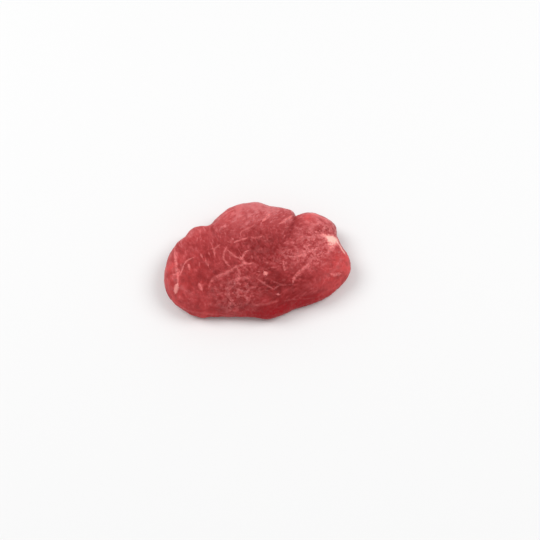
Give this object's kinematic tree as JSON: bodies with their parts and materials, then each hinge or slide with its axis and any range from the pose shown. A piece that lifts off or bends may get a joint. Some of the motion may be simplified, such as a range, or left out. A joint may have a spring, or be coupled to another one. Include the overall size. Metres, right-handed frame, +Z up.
{
  "type": "raw thick beef steak",
  "caption": "Thick raw beef steak, a lobed slice with rounded sides and a deep notch, lying flat on one cut face.",
  "frame": {"origin": "middle of the footprint's bounding box, on the face that it rests on", "axes": "+X along the steak's length, +Y towards the side with the deep notch, +Z up through its thickness"},
  "size_m": [0.138, 0.0974, 0.0245],
  "materials": {
    "raw_beef": "satin"
  },
  "bodies": {
    "root": {"steak": "raw_beef"}
  },
  "joints": []
}
